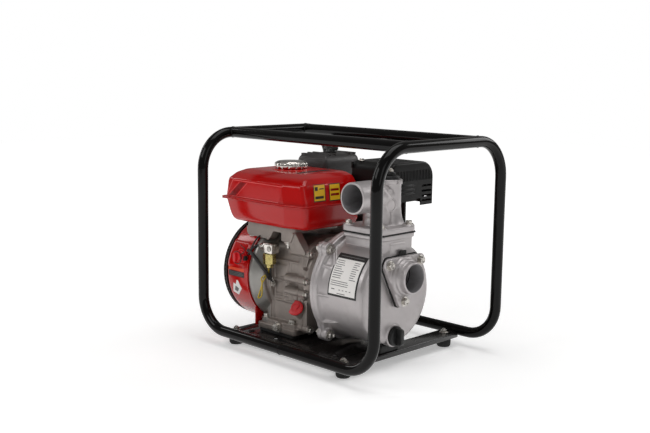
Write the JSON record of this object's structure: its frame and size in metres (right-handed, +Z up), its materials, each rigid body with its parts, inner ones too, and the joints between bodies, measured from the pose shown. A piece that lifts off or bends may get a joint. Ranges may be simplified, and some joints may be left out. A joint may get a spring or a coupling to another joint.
{
  "type": "portable fire pump",
  "caption": "Portable engine-driven water pump in a tubular steel carrying frame, with an air-cooled engine, an aluminium pump casing, and threaded suction and discharge stubs.",
  "frame": {"origin": "centre of the footprint, on the surface the four rubber feet stand on", "axes": "+X along the crankshaft from the engine to the pump and suction port, -Y towards the discharge outlet and the oil filler side, +Z up"},
  "size_m": [0.49, 0.381, 0.4355],
  "materials": {
    "frame_black": "gloss black paint on steel tube and sheet",
    "rubber": "black moulded rubber",
    "engine_aluminium": "die-cast aluminium, warm grey",
    "pump_aluminium": "die-cast aluminium, light satin grey",
    "red_paint": "gloss red paint",
    "red_plastic": "moulded red plastic",
    "black_plastic": "satin black moulded plastic",
    "black_paint": "matt black heat-resistant paint",
    "chrome": "chromed steel",
    "steel": "bright steel",
    "brass": "yellow passivated brass",
    "foam": "oiled foam"
  },
  "bodies": {
    "root": {"frame_hoop_pump_end": "frame_black", "frame_hoop_engine_end": "frame_black", "top_rail_near": "frame_black", "top_rail_far": "frame_black", "base_channel_pump": "frame_black", "base_channel_engine": "frame_black", "base_plate": "frame_black", "foot_pump_near": "rubber", "foot_pump_far": "rubber", "foot_engine_near": "rubber", "foot_engine_far": "rubber", "pump_support_pad": "rubber", "engine_mount_near": "rubber", "engine_mount_far": "rubber", "suction_gasket": "rubber", "discharge_gasket": "rubber", "crankcase": "engine_aluminium", "crankcase_cover": "engine_aluminium", "cylinder_head": "engine_aluminium", "tank_bracket": "engine_aluminium", "carburettor": "engine_aluminium", "pump_adapter": "pump_aluminium", "pump_casing": "pump_aluminium", "volute": "pump_aluminium", "suction_flange": "pump_aluminium", "discharge_elbow": "pump_aluminium", "fuel_tank_lower": "red_paint", "fuel_tank_upper": "red_paint", "fan_shroud": "red_paint", "air_cleaner_cover": "black_plastic", "air_cleaner_base": "black_plastic", "engine_switch": "black_plastic", "recoil_housing": "black_plastic", "muffler_shield": "black_paint", "muffler": "black_paint", "muffler_stay": "black_paint", "rocker_cover": "black_paint", "oil_switch_body": "chrome", "oil_drain_bolt": "steel", "spark_plug": "steel", "mechanical_seal": "steel", "oil_switch_hex": "brass", "air_filter_element": "foam"},
    "rotor": {"crankshaft": "steel", "flywheel": "engine_aluminium", "starter_cup": "steel", "impeller": "engine_aluminium"},
    "piston": {"piston": "steel"},
    "reel": {"recoil_reel": "black_plastic"},
    "grip": {"starter_grip": "black_plastic"},
    "throttle": {"throttle_lever": "black_plastic"},
    "choke": {"choke_lever": "black_plastic"},
    "fuel_valve": {"fuel_valve_lever": "black_plastic"},
    "switch_knob": {"engine_switch_knob": "red_plastic"},
    "fuel_cap": {"fuel_cap": "chrome"},
    "filler_plug": {"oil_filler_plug": "red_plastic"},
    "priming_plug": {"priming_plug": "black_plastic"},
    "drain_knob": {"drain_knob": "black_plastic"},
    "flap": {"check_valve_flap": "rubber"},
    "air_knob": {"air_cleaner_knob": "black_plastic"}
  },
  "joints": [
    {"name": "crank_spin", "type": "hinge", "parent": "root", "child": "rotor", "pos_m": [0, -0.038, 0.1427], "axis": [1, 0, 0], "continuous": true},
    {"name": "piston_travel", "type": "slide", "parent": "root", "child": "piston", "axis": [0, 0.9063, 0.4226], "range_m": [-0.045, 0]},
    {"name": "starter_pull", "type": "slide", "parent": "root", "child": "grip", "axis": [0, 1, 0], "range_m": [0, 0.75], "stiffness_N_per_m": 12, "springref_m": -0.08},
    {"name": "reel_spin", "type": "hinge", "parent": "root", "child": "reel", "pos_m": [0, -0.038, 0.1427], "axis": [1, 0, 0], "range_deg": [-1400, 0]},
    {"name": "throttle_turn", "type": "hinge", "parent": "root", "child": "throttle", "pos_m": [-0.092, 0.044, 0.264], "axis": [0, 0, 1], "range_deg": [0, 35]},
    {"name": "choke_turn", "type": "hinge", "parent": "root", "child": "choke", "pos_m": [-0.16, 0.1203, 0.27], "axis": [0, 1, 0], "range_deg": [-55, 0]},
    {"name": "fuel_valve_turn", "type": "hinge", "parent": "root", "child": "fuel_valve", "pos_m": [-0.138, 0.1203, 0.25], "axis": [0, 1, 0], "range_deg": [0, 90]},
    {"name": "switch_turn", "type": "hinge", "parent": "root", "child": "switch_knob", "pos_m": [-0.158, -0.15, 0.1815], "axis": [0, 1, 0], "range_deg": [0, 90]},
    {"name": "fuel_cap_turn", "type": "hinge", "parent": "root", "child": "fuel_cap", "pos_m": [-0.128, -0.036, 0.355], "axis": [0, 0, 1], "range_deg": [0, 90]},
    {"name": "filler_plug_turn", "type": "hinge", "parent": "root", "child": "filler_plug", "pos_m": [-0.0328, -0.107, 0.0845], "axis": [0, -0.77, 0.638], "range_deg": [0, 1080]},
    {"name": "priming_plug_turn", "type": "hinge", "parent": "root", "child": "priming_plug", "pos_m": [0.114, -0.014, 0.353], "axis": [0, 0, 1], "range_deg": [0, 1080]},
    {"name": "drain_knob_turn", "type": "hinge", "parent": "root", "child": "drain_knob", "pos_m": [0.168, -0.047, 0.065], "axis": [1, 0, 0], "range_deg": [0, 1080]},
    {"name": "check_valve_swing", "type": "hinge", "parent": "root", "child": "flap", "pos_m": [0.157, -0.038, 0.203], "axis": [0, 1, 0], "range_deg": [0, 30]},
    {"name": "air_knob_turn", "type": "hinge", "parent": "root", "child": "air_knob", "pos_m": [-0.148, 0.1, 0.38], "axis": [0, 0, 1], "range_deg": [0, 1440]}
  ],
  "couplings": [
    {"joint": "reel_spin", "follows": "starter_pull", "rad_per_m": -32.258}
  ]
}
